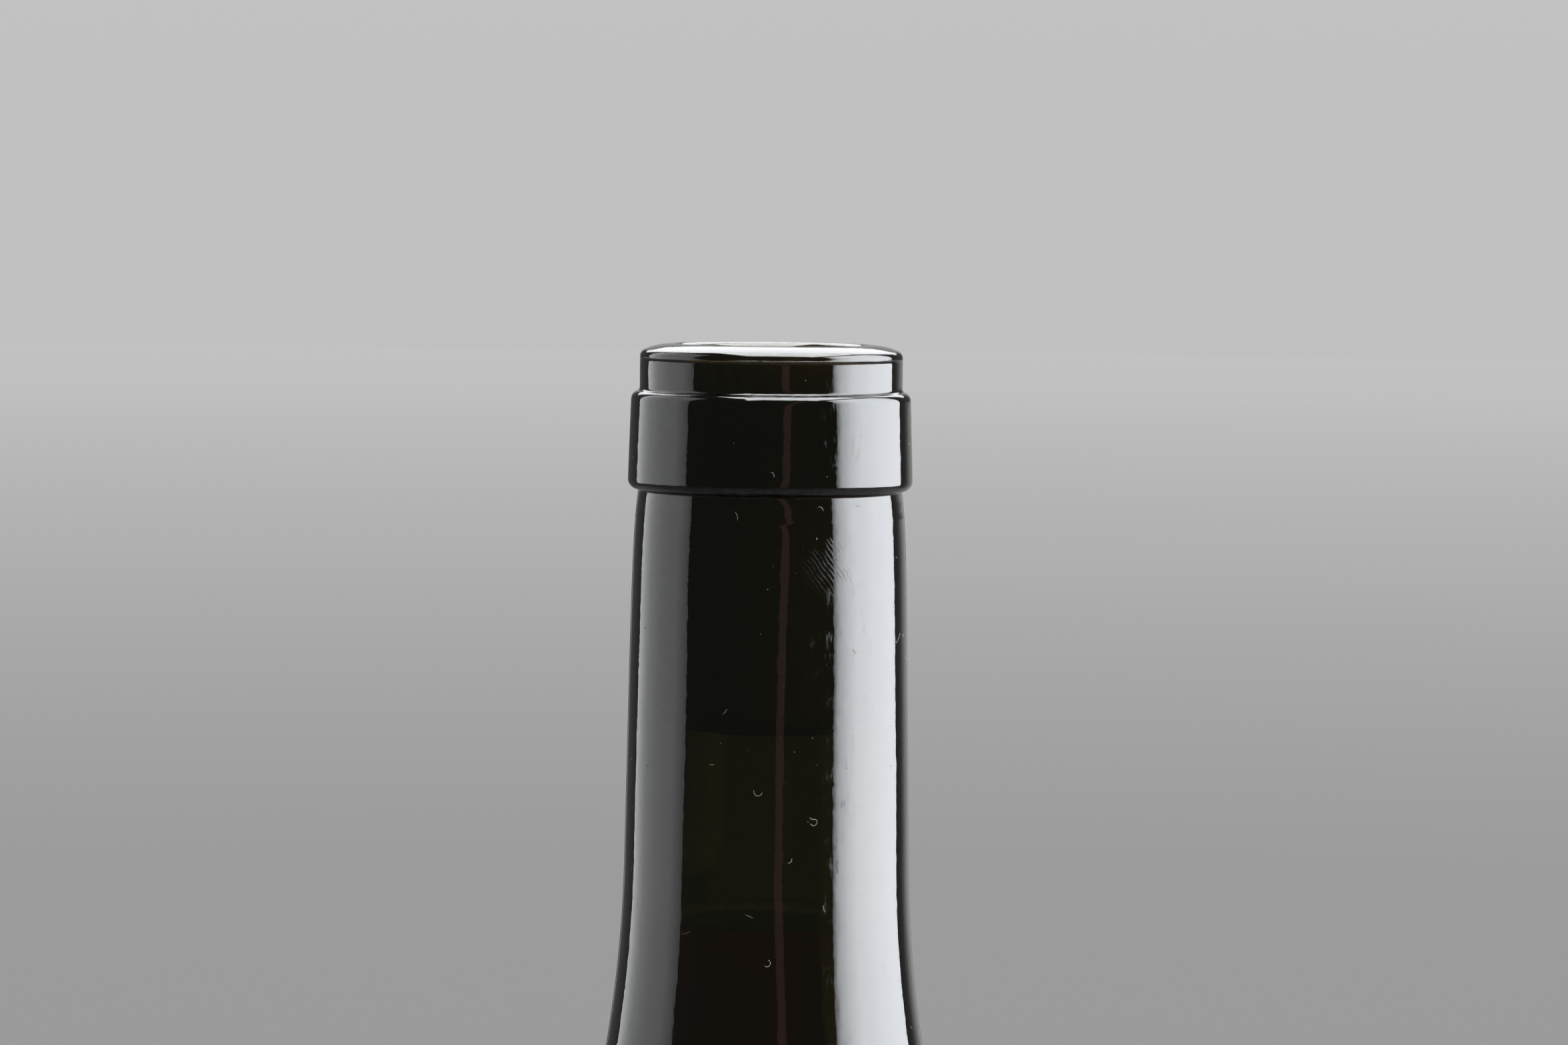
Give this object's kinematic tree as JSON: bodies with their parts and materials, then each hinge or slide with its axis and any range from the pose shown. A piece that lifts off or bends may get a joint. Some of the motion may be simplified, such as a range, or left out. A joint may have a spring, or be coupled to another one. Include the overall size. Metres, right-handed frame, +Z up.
{
  "type": "wine bottle",
  "caption": "Sloping-shouldered dark green glass bottle with a banded mouth and a punted base, filled with red wine and closed by a natural cork set in the neck.",
  "frame": {"origin": "centre of the base ring, on the plane the bottle stands on", "axes": "+Z up along the bottle's own axis, from the base to the mouth; X and Y across it, both alike, as the bottle is round"},
  "size_m": [0.082, 0.082, 0.296],
  "materials": {
    "green_glass": "fire-polished dark olive-green bottle glass",
    "cork": "natural punched cork, pitted, wine-wetted at its lower end",
    "red_wine": "clear dark red liquid"
  },
  "bodies": {
    "root": {"glass_bottle": "green_glass", "cork": "cork", "wine": "red_wine"}
  },
  "joints": []
}
